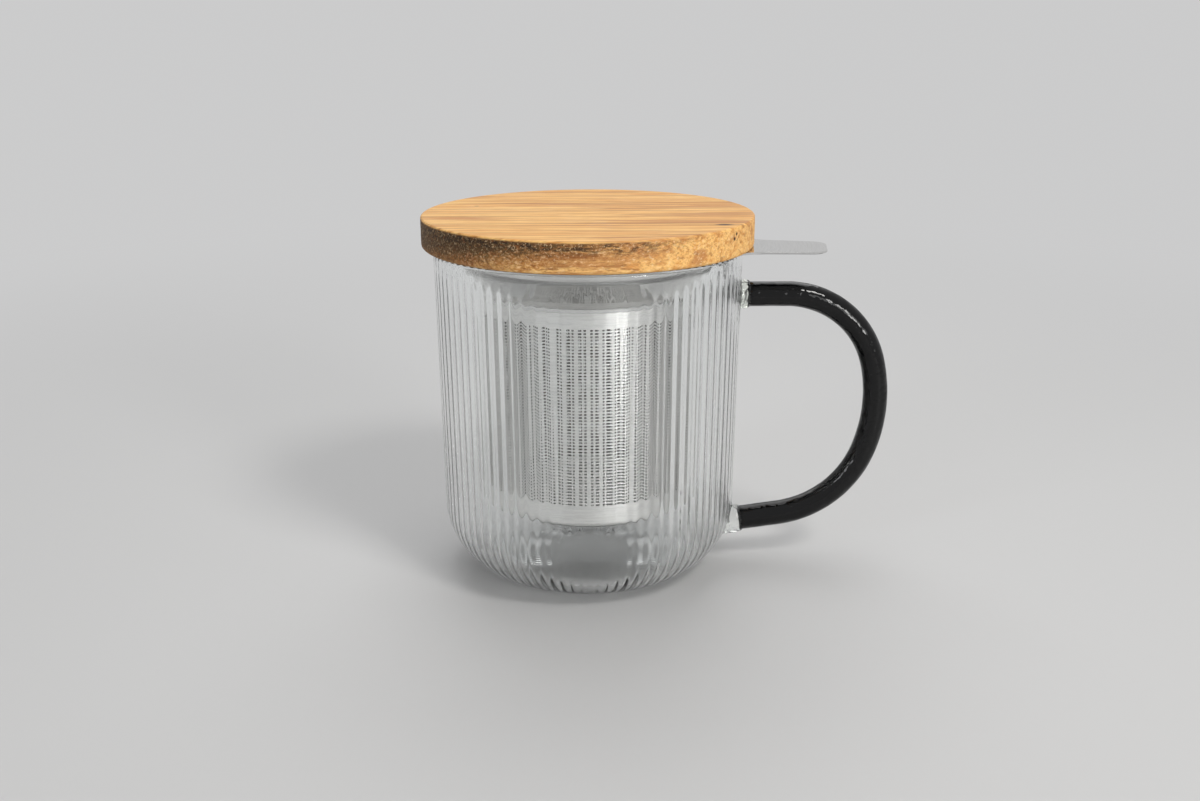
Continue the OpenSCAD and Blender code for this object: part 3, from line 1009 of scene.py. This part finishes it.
@dataclass
class RodHandle:
    """Black rod bent to a D, with the clear beads that fuse it to the cup."""

    rod_radius: float = 3.5 * MM
    top: float = 78.3 * MM
    start: float = 43.6 * MM
    first_bend: float = 54.6 * MM
    bend_radius: tuple[float, float, float] = (25.6 * MM, 44 * MM, 29.6 * MM)
    bend_angle: tuple[float, float, float] = (75, 35.4, 61.6)
    end: float = 42.9 * MM
    sides: int = 40
    end_round: float = 0.9 * MM
    end_share: float = 0.86
    waver: float = 0.12 * MM
    bead_radius: float = 4.2 * MM
    bead_sides: int = 64
    bead_lap: float = 0.9 * MM
    bead_root: float = 0.3 * MM
    wall_step: float = 0.03 * MM
    over_rod: tuple[Point2, ...] = (
        (-1.0, 0.845), (-0.85, 0.88), (-0.5, 0.93), (0.0, 0.97), (0.6, 0.995))
    to_wall: tuple[Point2, ...] = (
        (0.2, 1.0), (0.45, 0.985), (0.65, 0.985), (0.8, 1.02), (0.9, 1.09), (1.0, 1.2))

    def centre_line(self) -> tuple[np.ndarray, np.ndarray]:
        """Stations along the rod.

        Returns:
            Points as (x, z) and headings in radians, one for each station.
        """
        x, z, heading = self.start, self.top, 0.0
        points, headings = [(x, z)], [heading]
        runs = [(None, self.first_bend - self.start)]
        runs += list(zip(self.bend_radius, self.bend_angle))
        for radius, amount in runs:
            steps = 10 if radius is None else int(amount / 2)
            for _ in range(steps):
                turn = 0.0 if radius is None else math.radians(amount) / steps
                chord = amount / steps if radius is None else 2 * radius * math.sin(turn / 2)
                x += chord * math.cos(heading - turn / 2)
                z += chord * math.sin(heading - turn / 2)
                heading -= turn
                points.append((x, z))
                headings.append(heading)
        left = (x - self.end) / -math.cos(heading)
        for k in range(1, 13):
            points.append((x + left * k / 12 * math.cos(heading), z + left * k / 12 * math.sin(heading)))
            headings.append(heading)
        return np.array(points), np.array(headings)

    def rod(self, material: bpy.types.Material) -> bpy.types.Object:
        """Builds the rod: a sweep whose thickness wavers as drawn glass does."""
        points, headings = self.centre_line()
        length = np.concatenate([[0], np.cumsum(np.linalg.norm(np.diff(points, axis=0), axis=1))])
        wave = 0.5 + 0.5 * np.sin(length / (9 * MM)) * np.cos(length / (23 * MM) + 1)
        inward = np.clip(np.minimum(length, length[-1] - length) / self.end_round, 0, 1)
        rounded = self.end_share + (1 - self.end_share) * np.sqrt(inward * (2 - inward))
        radius = (self.rod_radius - self.waver * wave) * rounded
        angle = np.arange(self.sides) * TURN / self.sides
        out = radius[:, None] * np.cos(angle)
        side = radius[:, None] * np.sin(angle)
        rings = np.stack([
            points[:, :1] - out * np.sin(headings)[:, None],
            side,
            points[:, 1:] + out * np.cos(headings)[:, None],
        ], axis=-1)
        skin = Skin()
        skin.add_rings(rings, closed=False)
        piece = skin.to_object("bent_rod", 50)
        return dress(piece, material, Body.MUG, Slot.BLACK_GLASS, "handle")

    def bead(self, name: str, node: str, station: int, cup: GlassCup,
             material: bpy.types.Material) -> bpy.types.Object:
        """Builds one clear bead, lapped over the rod's end and fused to the cup.

        Args:
            name: Name of the piece.
            node: The CAD node that it replaces.
            station: Index of the rod's end station.
            cup: The cup that it runs into.
            material: Its finish.

        Returns:
            The dressed piece.
        """
        points, headings = self.centre_line()
        heading = headings[station] + (math.pi if station == 0 else 0.0)
        outward = np.array([math.cos(heading), math.sin(heading)])
        angle = np.arange(self.bead_sides) * TURN / self.bead_sides
        lumps = 1 - 0.035 * (0.5 + 0.5 * np.sin(3 * angle + station)) \
            - 0.025 * (0.5 + 0.5 * np.cos(5 * angle + 1))
        side = self.bead_radius * lumps * np.sin(angle)
        rise = self.bead_radius * lumps * np.cos(angle)
        reach = self.reach_to_wall(points[station], outward, side, rise, cup)
        first = self.over_rod[-1][0] * self.bead_lap
        distances = [(np.full(self.bead_sides, laps * self.bead_lap), k)
                     for laps, k in self.over_rod]
        distances += [(first + (reach - first) * share, k) for share, k in self.to_wall]
        rings = [self.bead_ring(points[station], outward, distance, side * k, rise * k)
                 for distance, k in distances]
        skin = Skin()
        skin.add_rings(np.array(rings), closed=False)
        piece = skin.to_object(name, 70)
        return dress(piece, material, Body.MUG, Slot.CLEAR_GLASS, node)

    @staticmethod
    def bead_ring(start: np.ndarray, outward: np.ndarray, distance: np.ndarray,
                  side: np.ndarray, rise: np.ndarray) -> np.ndarray:
        """Ring of a bead, each point at its own distance along the rod.

        Args:
            start: Rod's end as (x, z).
            outward: Direction from the rod into the cup, as (x, z).
            distance: Distance of each point along that direction.
            side: Offset of each point along Y.
            rise: Offset of each point across the rod, in the handle's plane.

        Returns:
            An array of shape (points, 3).
        """
        x = start[0] + outward[0] * distance - outward[1] * rise
        z = start[1] + outward[1] * distance + outward[0] * rise
        return np.stack([x, side, z], axis=-1)

    def reach_to_wall(self, start: np.ndarray, outward: np.ndarray, side: np.ndarray,
                      rise: np.ndarray, cup: GlassCup) -> np.ndarray:
        """Distance at which each line of a bead is just inside the cup's wall."""
        reach = np.zeros(len(side))
        for _ in range(400):
            ring = self.bead_ring(start, outward, reach, side, rise)
            inside = np.hypot(ring[:, 0], ring[:, 1]) < cup.outer_radius(ring[:, 2]) - self.bead_root
            if inside.all():
                break
            reach = np.where(inside, reach, reach + self.wall_step)
        return reach

    def build(self, cup: GlassCup, black: bpy.types.Material, clear: bpy.types.Material) -> None:
        """Builds the rod and its two beads."""
        self.rod(black)
        self.bead("upper_fused_bead", "upper_bead", 0, cup, clear)
        self.bead("lower_fused_bead", "lower_bead", -1, cup, clear)


# ---- the infuser ----------------------------------------------------------------


@dataclass
class Infuser:
    """Pressed collar with its lifting tab, perforated tube and base."""

    sheet: float = 0.6 * MM
    sheet_edge: float = 0.12 * MM
    bend: float = 1.0 * MM
    flat_start: float = 2.4 * MM
    mouth: float = 37.2 * MM
    mouth_drop: float = 2.2 * MM
    neck: float = 80.4 * MM
    lip: float = 1.2 * MM
    tube: float = 25.6 * MM
    tube_wall: float = 0.4 * MM
    tab_reach: float = 64.3 * MM
    tab_width: float = 19.2 * MM
    tab_end_width: float = 15.6 * MM
    tab_corner: float = 4.5 * MM
    tab_root: float = 14 * MM
    tab_turn: float = -7.4
    columns: int = 104
    rows: int = 56
    row_pitch: float = 0.874 * MM
    field_top: float = 75 * MM
    slot_width: float = 1.05 * MM
    slot_height: float = 0.5 * MM
    brim: float = field(init=False)
    brim_top: float = field(init=False)
    tube_bottom: float = field(init=False)

    def __post_init__(self) -> None:
        """Reads the main sizes from the frame."""
        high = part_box("infuser_collar")[1]
        self.brim = high.y
        self.brim_top = high.z
        self.tube_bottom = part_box("infuser_basket")[0].z

    def rim_outline(self, inset: float) -> np.ndarray:
        """Outline of the brim with the tab, as points in order of angle.

        Args:
            inset: Distance that the outline is drawn in.

        Returns:
            An array of shape (points, 2).
        """
        taper = math.atan((self.tab_width - self.tab_end_width) / 2 / (self.tab_reach - self.brim))
        c, s = math.cos(taper), math.sin(taper)
        brim = self.brim - inset
        side = self.tab_width / 2 * c + self.brim * s - inset
        root, corner = self.tab_root + inset, self.tab_corner - inset
        root_y = side + root
        root_x = math.sqrt((brim + root) ** 2 - root_y ** 2)
        corner_x = self.tab_reach - self.tab_corner
        corner_y = (side - corner - corner_x * s) / c
        leave = math.degrees(math.atan2(root_y, root_x) - taper)
        fillet = (root_x * c + root_y * s, root_y * c - root_x * s)
        tilt = math.degrees(taper)
        upper = straight((corner_x + corner, 0.0), (corner_x + corner, corner_y), 8)
        upper += arc((corner_x, corner_y), corner, 0, 90 - tilt, 14)
        fillet_arc = arc(fillet, root, 270 - tilt, 180 + leave, 20)
        upper += straight(upper[-1], fillet_arc[0], 10) + fillet_arc
        far = [
            (brim * math.cos(a), brim * math.sin(a))
            for a in np.radians(np.linspace(leave, 180, 110))[1:]
        ]
        half_line = [(corner_x + corner, 0.0), *upper, *far]
        mirrored = [(x, -y) for x, y in reversed(half_line[1:-1])]
        turn = math.radians(self.tab_turn)
        spin = np.array([[math.cos(turn), math.sin(turn)], [-math.sin(turn), math.cos(turn)]])
        return np.array(half_line + mirrored) @ spin

    def collar(self, material: bpy.types.Material) -> bpy.types.Object:
        """Builds the pressed collar as one closed sheet with round bends."""
        outline = self.rim_outline(0.0)
        angle = np.arctan2(outline[:, 1], outline[:, 0])
        edge, bend = self.sheet_edge, self.bend
        low = self.brim_top - self.sheet
        wall = self.mouth + self.sheet
        rings = [
            self.outline_ring(self.rim_outline(edge), self.brim_top),
            self.outline_ring(outline, self.brim_top - edge),
            self.outline_ring(outline, low + edge),
            self.outline_ring(self.rim_outline(edge), low),
        ]
        cone_top = self.brim_top - self.sheet - self.mouth_drop
        lip_outside, lip_inside = self.tube + self.sheet, self.tube + 0.05 * MM
        lip_low = self.neck - self.lip
        cone_head = (wall - 0.4 * MM, cone_top - 0.45 * MM)
        cone_foot = (lip_outside + 0.5 * MM, self.neck + 0.4 * MM)
        under = [(wall + self.flat_start, low), *arc((wall + bend, low - bend), bend, 90, 180, 5)]
        under += [(wall, cone_top + 0.5 * MM), cone_head]
        under += straight(cone_head, cone_foot, 6)
        under += [cone_foot, (lip_outside, self.neck - 0.15 * MM),
                  (lip_outside, lip_low + 0.1 * MM), (lip_outside - 0.1 * MM, lip_low),
                  (lip_inside, lip_low)]
        cone_foot = (lip_inside + 0.5 * MM, self.neck + 0.75 * MM)
        cone_head = (self.mouth - 0.4 * MM, cone_top - 0.1 * MM)
        over = [(lip_inside, self.neck + 0.1 * MM), cone_foot]
        over += straight(cone_foot, cone_head, 6)
        over += [cone_head, (self.mouth, cone_top + 0.7 * MM)]
        over += arc((self.mouth + bend, self.brim_top - bend), bend, 180, 90, 5)
        over += [(wall + self.flat_start, self.brim_top)]
        for radius, height in under + over:
            rings.append(np.stack([radius * np.cos(angle), radius * np.sin(angle),
                                   np.full(len(angle), height)], axis=-1))
        skin = Skin()
        skin.add_rings(np.array(rings), closed=True)
        piece = skin.to_object("pressed_collar", 35)
        return dress(piece, material, Body.INFUSER, Slot.POLISHED_STEEL, "infuser_collar")

    @staticmethod
    def outline_ring(outline: np.ndarray, height: float) -> np.ndarray:
        """Ring of points on an outline at one height."""
        return np.column_stack([outline, np.full(len(outline), height)])

    def perforated_tube(self, material: bpy.types.Material) -> bpy.types.Object:
        """Builds the tube with every perforation as a real hole.

        The field is a grid of cells.  Each cell has eight points on its border
        and eight on its slot, on the outside and again on the inside.
        """
        field_bottom = self.field_top - self.rows * self.row_pitch
        width = TURN / self.columns
        inner = self.tube - self.tube_wall
        skin = Skin()
        border, slot = self.cell_points()
        faces = self.cell_faces()
        column = np.arange(self.columns) * width
        row = field_bottom + np.arange(self.rows) * self.row_pitch
        turn, level = np.meshgrid(column, row, indexing="ij")
        cell = np.concatenate([border, slot])
        angle = turn.ravel()[:, None] + cell[None, :, 0] * width
        height = level.ravel()[:, None] + cell[None, :, 1] * self.row_pitch
        both = [np.stack([r * np.cos(angle), r * np.sin(angle), height], axis=-1)
                for r in (self.tube, inner)]
        points = np.concatenate(both, axis=1)
        start = np.arange(len(points))[:, None, None] * points.shape[1]
        skin.add(points.reshape(-1, 3), [(start + faces[None]).reshape(-1, 4)])
        self.add_plain_band(skin, field_bottom, self.tube_bottom, inner)
        self.add_plain_band(skin, self.field_top, self.neck + 0.2 * MM, inner)
        piece = skin.to_object("perforated_tube", 40)
        self.weld(piece)
        return dress(piece, material, Body.INFUSER, Slot.BRUSHED_STEEL, "infuser_basket")

    def cell_points(self) -> tuple[np.ndarray, np.ndarray]:
        """Points of one cell's border and of its slot, as shares of the cell."""
        border = np.array([(0, 0), (0.5, 0), (1, 0), (1, 0.5), (1, 1), (0.5, 1), (0, 1), (0, 0.5)])
        pitch = TURN / self.columns * self.tube
        half_w = self.slot_width / 2 / pitch
        half_h = self.slot_height / 2 / self.row_pitch
        corner_w = half_w - 0.3 * self.slot_height / pitch
        slot = np.array([
            (-corner_w, -half_h), (0, -half_h), (corner_w, -half_h), (half_w, 0),
            (corner_w, half_h), (0, half_h), (-corner_w, half_h), (-half_w, 0),
        ]) + 0.5
        return border, slot

    @staticmethod
    def cell_faces() -> np.ndarray:
        """Faces of one cell: outside, inside and the wall of the slot."""
        faces = []
        for k in range(8):
            n = (k + 1) % 8
            faces.append((k, n, 8 + n, 8 + k))
            faces.append((16 + n, 16 + k, 24 + k, 24 + n))
            faces.append((8 + k, 8 + n, 24 + n, 24 + k))
        return np.array(faces)

    def add_plain_band(self, skin: Skin, start: float, end: float, inner: float) -> None:
        """Adds a plain band that joins the field's edge to the tube's end.

        Args:
            skin: Skin that holds the tube so far.
            start: Height of the field's edge.
            end: Height of the tube's end.
            inner: Inner radius of the tube.
        """
        heights = [start, start + (end - start) * 0.5, end - math.copysign(0.1 * MM, end - start)]
        profile = [(self.tube, z) for z in heights]
        profile += [(self.tube - 0.1 * MM, end), (inner + 0.1 * MM, end)]
        profile += [(inner, z) for z in reversed(heights)]
        rings = revolved(profile, self.columns * 2)
        total, around = rings.shape[:2]
        index = np.arange(total * around).reshape(total, around)
        beside = np.roll(index, -1, axis=1)
        quads = np.stack([index[:-1], beside[:-1], beside[1:], index[1:]], axis=-1).reshape(-1, 4)
        if end < start:
            quads = quads[:, ::-1]
        skin.add(rings.reshape(-1, 3), [quads])

    @staticmethod
    def weld(piece: bpy.types.Object) -> None:
        """Joins the points that neighbouring cells share."""
        mesh = bmesh.new()
        mesh.from_mesh(piece.data)
        bmesh.ops.remove_doubles(mesh, verts=mesh.verts, dist=0.005 * MM)
        bmesh.ops.recalc_face_normals(mesh, faces=mesh.faces)
        mesh.to_mesh(piece.data)
        mesh.free()
        piece.data.shade_smooth()
        piece.data.set_sharp_from_angle(angle=math.radians(40))

    def base(self, material: bpy.types.Material) -> None:
        """Dresses the pressed base, whose CAD form is already the real one."""
        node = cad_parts["infuser_base"]
        node.data.materials.clear()
        node.data.materials.append(material)

    def build(self, polished: bpy.types.Material, satin: bpy.types.Material,
              pressed: bpy.types.Material) -> None:
        """Builds the collar and the tube and dresses the base."""
        self.collar(polished)
        self.perforated_tube(satin)
        self.base(pressed)


# ---- the lid --------------------------------------------------------------------


@dataclass
class WoodenLid:
    """Turned disc with a spigot underneath and a soft ring in its groove."""

    edge_round: float = 1.0 * MM
    top_round: float = 0.6 * MM
    spigot_radius: float = 35.4 * MM
    spigot_depth: float = 3.5 * MM
    groove_height: float = 1.4 * MM
    groove_depth: float = 1.0 * MM
    groove_drop: float = 0.8 * MM
    ring_gap: float = 0.05 * MM
    ring_lip: float = 0.28 * MM
    ring_web: float = 0.2 * MM
    ring_waist: float = 0.7 * MM
    roughness_depth: float = 0.07 * MM
    rough_waves: int = 34
    rough_cycles: tuple[int, int] = (20, 220)
    rough_rise: float = 2200.0
    rough_seed: int = 7
    around: int = 720
    radius: float = field(init=False)
    top: float = field(init=False)
    seat: float = field(init=False)

    def __post_init__(self) -> None:
        """Reads the lid's size from the frame."""
        low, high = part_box("lid")
        self.radius = high.y
        self.top = high.z
        self.seat = low.z + self.spigot_depth

    def section(self) -> list[Point2]:
        """Half section from the middle of the top to the middle of the spigot."""
        r, e, t = self.radius, self.edge_round, self.top_round
        groove_top = self.seat - self.groove_drop
        groove_low = groove_top - self.groove_height
        inner = self.spigot_radius - self.groove_depth
        low = self.seat - self.spigot_depth
        points = [(share * (r - t), self.top) for share in (0.02, 0.25, 0.5, 0.75, 0.9, 0.97)]
        points += arc((r - t, self.top - t), t, 90, 0, 6)
        points += straight((r, self.top - t), (r, self.seat + e), 16)
        points += arc((r - e, self.seat + e), e, 0, -90, 6)
        points += [(r - 3 * MM, self.seat), (self.spigot_radius + 0.3 * MM, self.seat),
                   (self.spigot_radius, self.seat - 0.2 * MM), (self.spigot_radius, groove_top),
                   (inner, groove_top), (inner, groove_low), (self.spigot_radius, groove_low),
                   (self.spigot_radius, low + 0.4 * MM), (self.spigot_radius - 0.4 * MM, low)]
        points += [(share * (self.spigot_radius - 0.4 * MM), low) for share in (0.8, 0.4, 0.03)]
        return points

    def build_disc(self, material: bpy.types.Material) -> bpy.types.Object:
        """Builds the disc, with the rim slightly rough where end grain shows."""
        rings = revolved(self.section(), self.around)
        radial = np.linalg.norm(rings[:, :, :2], axis=-1)
        rim = radial > self.radius - 0.6 * self.edge_round
        angle = np.arange(self.around) * TURN / self.around
        level = rings[:, :1, 2]
        rough = np.zeros_like(radial)
        random = np.random.default_rng(self.rough_seed)
        for _ in range(self.rough_waves):
            cycles = random.integers(*self.rough_cycles)
            rise = random.uniform(-self.rough_rise, self.rough_rise)
            phase = random.uniform(0, TURN)
            rough += np.sin(cycles * angle[None, :] + rise * level + phase)
        end_grain = 0.35 + 0.65 * np.abs(np.cos(angle))[None, :]
        cut = self.roughness_depth * end_grain * np.clip(0.45 + rough / 14, 0, 1)
        scale = np.where(rim, 1 - cut / np.maximum(radial, 1e-6), 1.0)
        rings[:, :, :2] *= scale[:, :, None]
        skin = Skin()
        skin.add_rings(rings, closed=False)
        piece = skin.to_object("turned_lid", 32)
        return dress(piece, material, Body.LID, Slot.ACACIA, "lid")

    def build_ring(self, material: bpy.types.Material) -> bpy.types.Object:
        """Builds the soft ring with two thin lips."""
        low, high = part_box("lid_seal")
        outer = high.y
        root = self.spigot_radius - self.groove_depth + 0.02 * MM
        bottom, top = low.z + self.ring_gap, high.z - self.ring_gap
        lip = self.ring_lip
        web = self.spigot_radius + self.ring_web
        profile = [(root, bottom), (web, bottom)]
        profile += arc((outer - lip, bottom + lip), lip, -90, 90, 6)
        profile += [(self.spigot_radius + self.ring_waist, (bottom + top) / 2)]
        profile += arc((outer - lip, top - lip), lip, -90, 90, 6)
        profile += [(web, top), (root, top)]
        skin = Skin()
        skin.add_rings(revolved(profile, 240), closed=True)
        piece = skin.to_object("soft_ring", 35)
        return dress(piece, material, Body.LID, Slot.SILICONE, "lid_seal")

    def build(self, wood: bpy.types.Material, soft: bpy.types.Material) -> None:
        """Builds the disc and its ring."""
        self.build_disc(wood)
        self.build_ring(soft)


# ---- studio ---------------------------------------------------------------------


@dataclass(frozen=True)
class PhotoCamera:
    """Camera of the photograph, solved from the mug's own ellipses."""

    focal_px: float = 1315.2
    frame_px: int = 1200
    sensor_mm: float = 36.0
    place: tuple[float, float, float] = (0.00117, -0.355, 0.15666)
    pitch_down: float = 0.29767
    yaw: float = 0.005585
    roll: float = -0.003442

    def build(self) -> bpy.types.Object:
        """Makes the camera and sets it as the scene's own."""
        data = bpy.data.cameras.new("photo_camera")
        data.sensor_fit = "HORIZONTAL"
        data.sensor_width = self.sensor_mm
        data.lens = self.sensor_mm * self.focal_px / self.frame_px
        data.clip_start = 0.01
        data.clip_end = 30
        camera = bpy.data.objects.new("photo_camera", data)
        forward = Vector((
            math.sin(self.yaw) * math.cos(self.pitch_down),
            math.cos(self.yaw) * math.cos(self.pitch_down),
            -math.sin(self.pitch_down),
        ))
        right = Vector((math.cos(self.yaw), -math.sin(self.yaw), 0))
        up = right.cross(forward)
        c, s = math.cos(self.roll), math.sin(self.roll)
        turned_right, turned_up = right * c + up * s, up * c - right * s
        rotation = Matrix((turned_right, turned_up, -forward)).transposed()
        camera.matrix_world = Matrix.Translation(self.place) @ rotation.to_4x4()
        bpy.context.scene.collection.objects.link(camera)
        bpy.context.scene.camera = camera
        return camera


@dataclass(frozen=True)
class Lamp:
    """One soft rectangular lamp that points at the mug."""

    name: str
    place: tuple[float, float, float]
    size: tuple[float, float]
    watts: float
    colour: Colour = (1.0, 1.0, 1.0)

    def build(self, target: Vector) -> bpy.types.Object:
        """Makes the lamp, aimed at the target."""
        data = bpy.data.lights.new(self.name, "AREA")
        data.shape = "RECTANGLE"
        data.size, data.size_y = self.size
        data.energy = self.watts
        data.color = self.colour
        lamp = bpy.data.objects.new(self.name, data)
        lamp.location = self.place
        lamp.visible_camera = False
        lamp.rotation_mode = "QUATERNION"
        lamp.rotation_quaternion = (target - Vector(self.place)).to_track_quat("-Z", "Y")
        bpy.context.scene.collection.objects.link(lamp)
        return lamp


def add_seen_rays(wiring: Wiring) -> bpy.types.NodeSocket:
    """Adds the mask of the rays that show a surface instead of lighting by it."""
    rays = wiring.add("ShaderNodeLightPath")
    passed = wiring.maths("MAXIMUM", rays.outputs["Is Glossy Ray"],
                          rays.outputs["Is Transmission Ray"])
    return wiring.maths("MAXIMUM", rays.outputs["Is Camera Ray"], passed)


@dataclass(frozen=True)
class Studio:
    """Pale floor, pale surroundings and soft lamps."""

    floor_colour: Colour = (0.62, 0.62, 0.62)
    floor_roughness: float = 0.6
    floor_size: float = 40.0
    seen_colour: Colour = (0.6, 0.6, 0.602)
    fade_start: float = 0.12
    fade_end: float = 0.6
    light_colour: Colour = (1.0, 1.0, 1.0)
    light_strength: float = 0.28
    aim: tuple[float, float, float] = (0.0, 0.0, 0.05)
    lamps: tuple[Lamp, ...] = (
        Lamp("key_lamp", (0.42, -0.5, 0.75), (0.2, 0.2), 2.7, (1.0, 0.98, 0.95)),
        Lamp("upper_window_lamp", (0.8, -1.08, 0.5), (0.26, 0.22), 2.4, (1.0, 0.99, 0.97)),
        Lamp("lower_window_lamp", (0.8, -1.08, 0.22), (0.26, 0.22), 2.4, (1.0, 0.99, 0.97)),
        Lamp("side_panel", (0.84, -1.2, 0.38), (0.9, 0.5), 3.3),
        Lamp("fill_lamp", (-0.93, -0.9, 0.5), (0.33, 0.33), 2.0, (0.95, 0.97, 1.0)),
        Lamp("top_panel", (0.0, 0.05, 0.95), (0.4, 0.4), 1.2),
        Lamp("back_panel", (0.0, 0.6, 0.75), (0.9, 0.7), 3.0),
    )

    def build(self) -> None:
        """Makes the floor, the surroundings and the lamps."""
        self.build_floor()
        self.build_surroundings()
        for lamp in self.lamps:
            lamp.build(Vector(self.aim))
        bpy.context.scene.view_settings.view_transform = "Standard"

    def build_floor(self) -> None:
        """Makes the plain pale floor."""
        half = self.floor_size / 2
        mesh = bpy.data.meshes.new("floor")
        corners = [(-half, -half, 0), (half, -half, 0), (half, half, 0), (-half, half, 0)]
        mesh.from_pydata(corners, [], [(0, 1, 2, 3)])
        floor = bpy.data.objects.new("floor", mesh)
        bpy.context.scene.collection.objects.link(floor)
        mesh.materials.append(self.floor_material())

    def floor_material(self) -> bpy.types.Material:
        """Makes the floor's finish, which fades into the backdrop far away."""
        material, wiring, shader, place = start_material("pale floor")
        shader.inputs["Base Color"].default_value = (*self.floor_colour, 1.0)
        shader.inputs["Roughness"].default_value = self.floor_roughness
        away = wiring.add("ShaderNodeVectorMath", operation="LENGTH")
        wiring.link(place, away.inputs[0])
        far = wiring.span(away.outputs["Value"], self.fade_start, self.fade_end)
        glow = wiring.add("ShaderNodeEmission", Color=(*self.seen_colour, 1.0))
        both = wiring.add("ShaderNodeMixShader")
        wiring.link(wiring.maths("MULTIPLY", far, add_seen_rays(wiring)), both.inputs[0])
        wiring.link(shader.outputs["BSDF"], both.inputs[1])
        wiring.link(glow.outputs["Emission"], both.inputs[2])
        output = next(n for n in wiring.tree.nodes if n.type == "OUTPUT_MATERIAL")
        wiring.link(both.outputs["Shader"], output.inputs["Surface"])
        return material

    def build_surroundings(self) -> None:
        """Makes the world: even light, and a pale colour where it is seen."""
        world = bpy.data.worlds.new("surroundings")
        world.use_nodes = True
        world.node_tree.nodes.clear()
        wiring = Wiring(world.node_tree)
        seen = add_seen_rays(wiring)
        lit = wiring.add("ShaderNodeBackground", Strength=self.light_strength,
                         Color=(*self.light_colour, 1.0))
        shown = wiring.add("ShaderNodeBackground", Strength=1.0, Color=(*self.seen_colour, 1.0))
        both = wiring.add("ShaderNodeMixShader")
        wiring.link(seen, both.inputs[0])
        wiring.link(lit.outputs[0], both.inputs[1])
        wiring.link(shown.outputs[0], both.inputs[2])
        output = wiring.add("ShaderNodeOutputWorld")
        wiring.link(both.outputs[0], output.inputs["Surface"])
        bpy.context.scene.world = world


def main() -> None:
    """Builds the studio, then every piece in order."""
    logging.basicConfig(level=logging.INFO, format="%(name)s: %(message)s")
    PhotoCamera().build()
    Studio().build()
    effects = SharedEffects()
    handle = RodHandle()
    line, _ = handle.centre_line()
    fused = tuple((float(line[k][0]) - 1.5 * MM, 0.0, float(line[k][1])) for k in (0, -1))
    blown = ClearGlass().make("blown clear glass", effects, fused)
    clear = ClearGlass(tint=(0.93, 0.965, 0.9)).make("fused clear glass", effects, fused)
    black = BlackGlass().make("black glass", effects)
    sheet = Steel(roughness=0.07, line_roughness=0.06, light=(0.74, 0.735, 0.725),
                  dark=(0.64, 0.635, 0.625))
    polished = sheet.make("polished steel", effects)
    infuser = Infuser()
    # the satin tube's inner face gets painted shade inside this radius
    satin = Steel(roughness=0.37, line_roughness=0.08, anisotropy=0.5, light=(0.88, 0.875, 0.86),
                  dark=(0.74, 0.735, 0.725), painted_shade_radius=infuser.tube - 0.35 * MM)
    pressed = Steel(roughness=0.3, line_roughness=0.1)
    soft = Silicone().make("silicone", effects)
    cup = GlassCup()
    cup.build(blown)
    handle.build(cup, black, clear)
    infuser.build(polished, satin.make("satin steel", effects),
                  pressed.make("pressed steel", effects))
    lid = WoodenLid()
    wood = Acacia().make("oiled acacia", lid.top, lid.radius, effects)
    lid.build(wood, soft)


if __name__ == "__main__":
    main()
